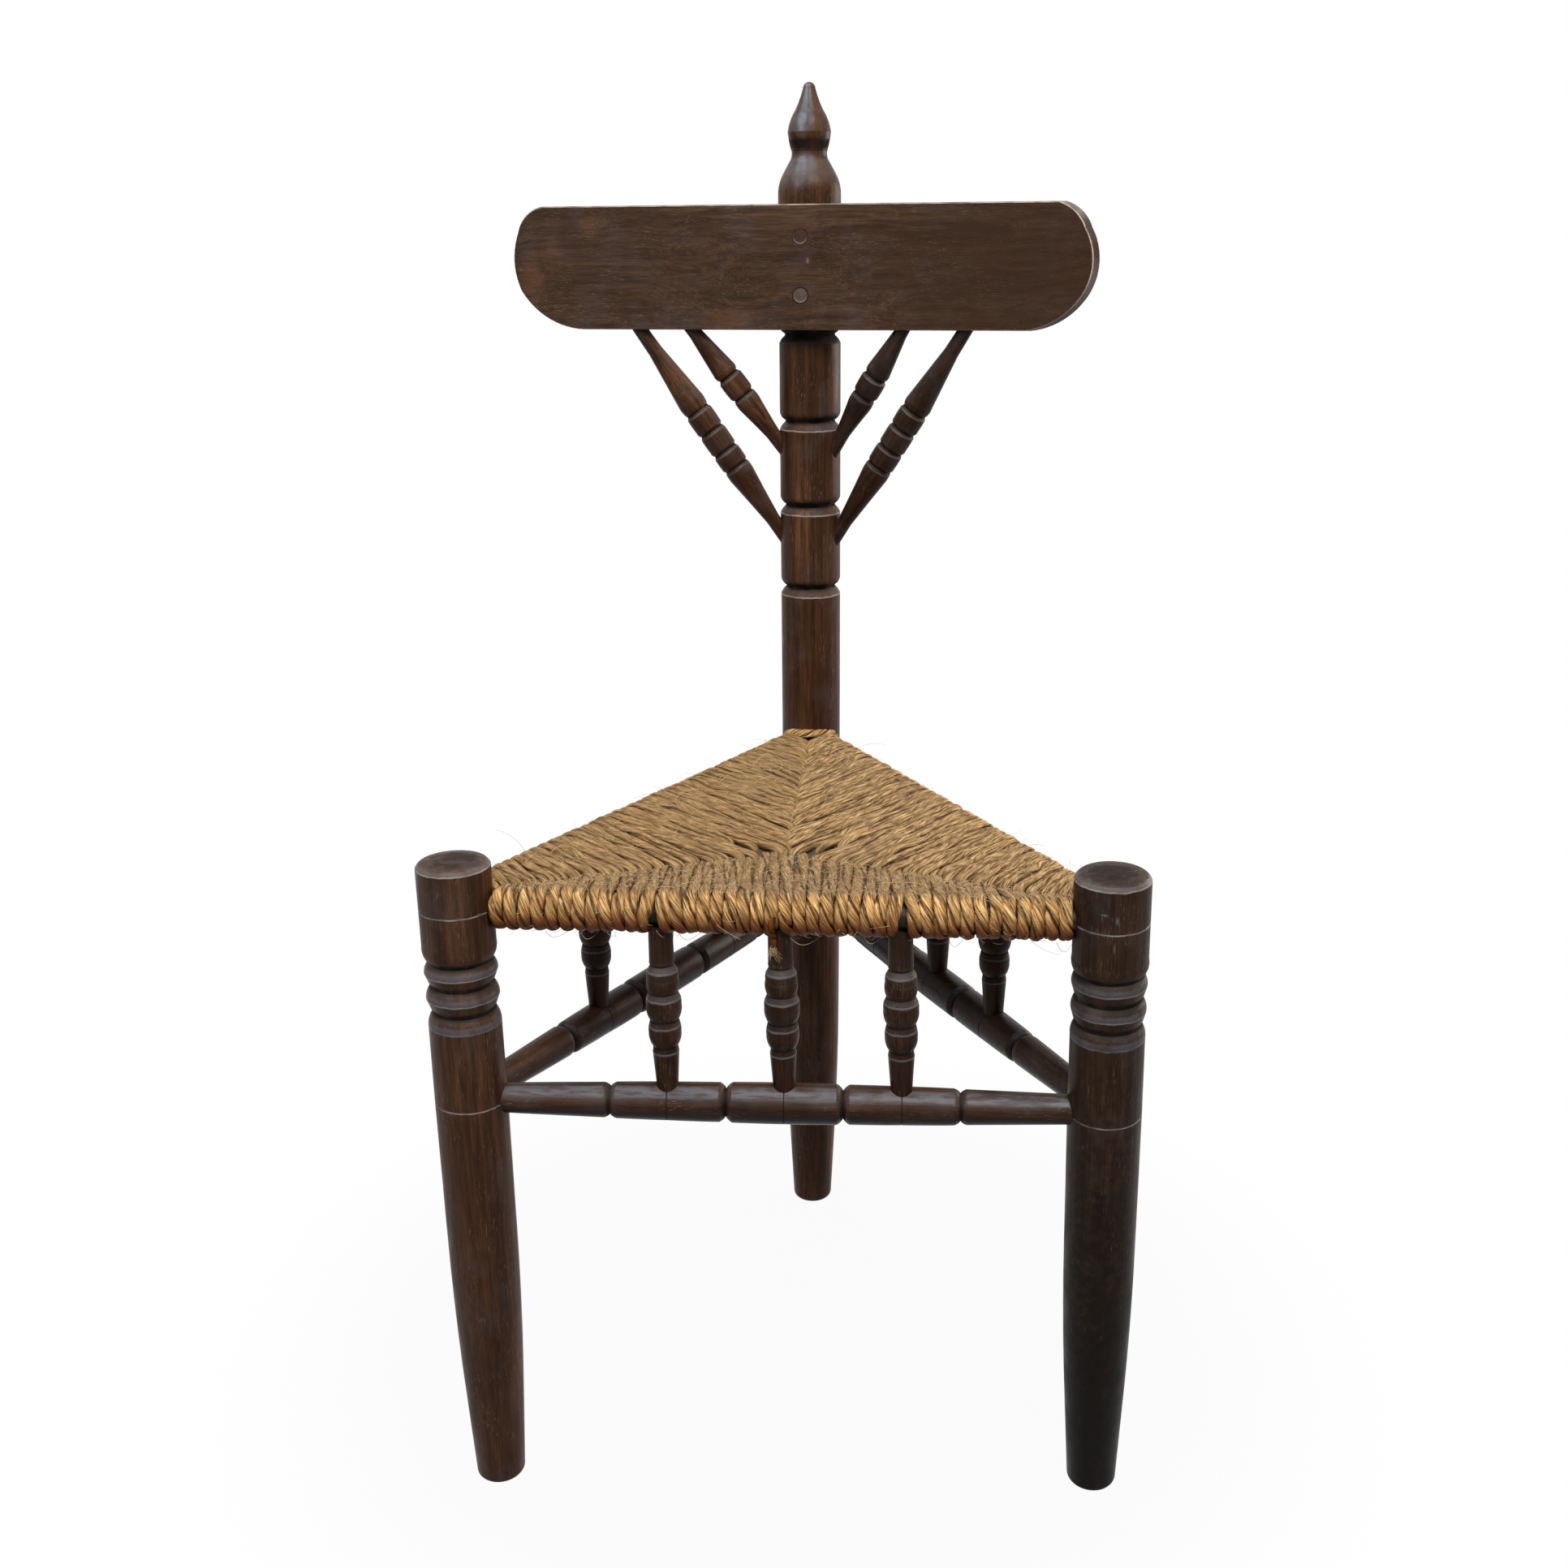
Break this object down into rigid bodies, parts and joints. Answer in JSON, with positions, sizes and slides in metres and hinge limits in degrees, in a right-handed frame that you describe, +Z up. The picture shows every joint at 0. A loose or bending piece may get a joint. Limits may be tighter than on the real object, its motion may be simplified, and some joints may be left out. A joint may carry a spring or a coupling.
{
  "type": "corner chair",
  "caption": "Triangular corner chair of turned dark wood: a back board braced to its tall rear post, spindles under a woven cord seat.",
  "frame": {"origin": "on the floor under the middle of the chair, halfway between the front legs and the rear post", "axes": "+Z up; the sitter faces -Y, away from the rear post; +X is the right-hand side seen from the front"},
  "size_m": [0.4964, 0.4412, 0.9993],
  "materials": {
    "leg_wood": "satin",
    "board_wood": "satin",
    "brace_wood": "satin",
    "stretcher_wood": "satin",
    "spindle_wood": "satin",
    "plug_wood": "satin",
    "rail_wood": "matte",
    "screw_steel": "plain",
    "seat_cord": "twisted cord",
    "stuffing": "matte"
  },
  "bodies": {
    "root": {"back_board": "board_wood", "brace_inner_left": "brace_wood", "brace_inner_right": "brace_wood", "brace_outer_left": "brace_wood", "brace_outer_right": "brace_wood", "front_left_leg": "leg_wood", "front_right_leg": "leg_wood", "plug_lower": "plug_wood", "plug_upper": "plug_wood", "rear_post": "leg_wood", "screw_lower": "screw_steel", "screw_upper": "screw_steel", "seat_rail_front": "rail_wood", "seat_rail_left": "rail_wood", "seat_rail_right": "rail_wood", "spindle_front_1": "spindle_wood", "spindle_front_2": "spindle_wood", "spindle_front_3": "spindle_wood", "spindle_left_1": "spindle_wood", "spindle_left_2": "spindle_wood", "spindle_left_3": "spindle_wood", "spindle_right_1": "spindle_wood", "spindle_right_2": "spindle_wood", "spindle_right_3": "spindle_wood", "stretcher_front": "stretcher_wood", "stretcher_left": "stretcher_wood", "stretcher_right": "stretcher_wood", "stuffing_front": "stuffing", "stuffing_left": "stuffing", "stuffing_right": "stuffing", "woven_seat": "seat_cord"}
  },
  "joints": []
}
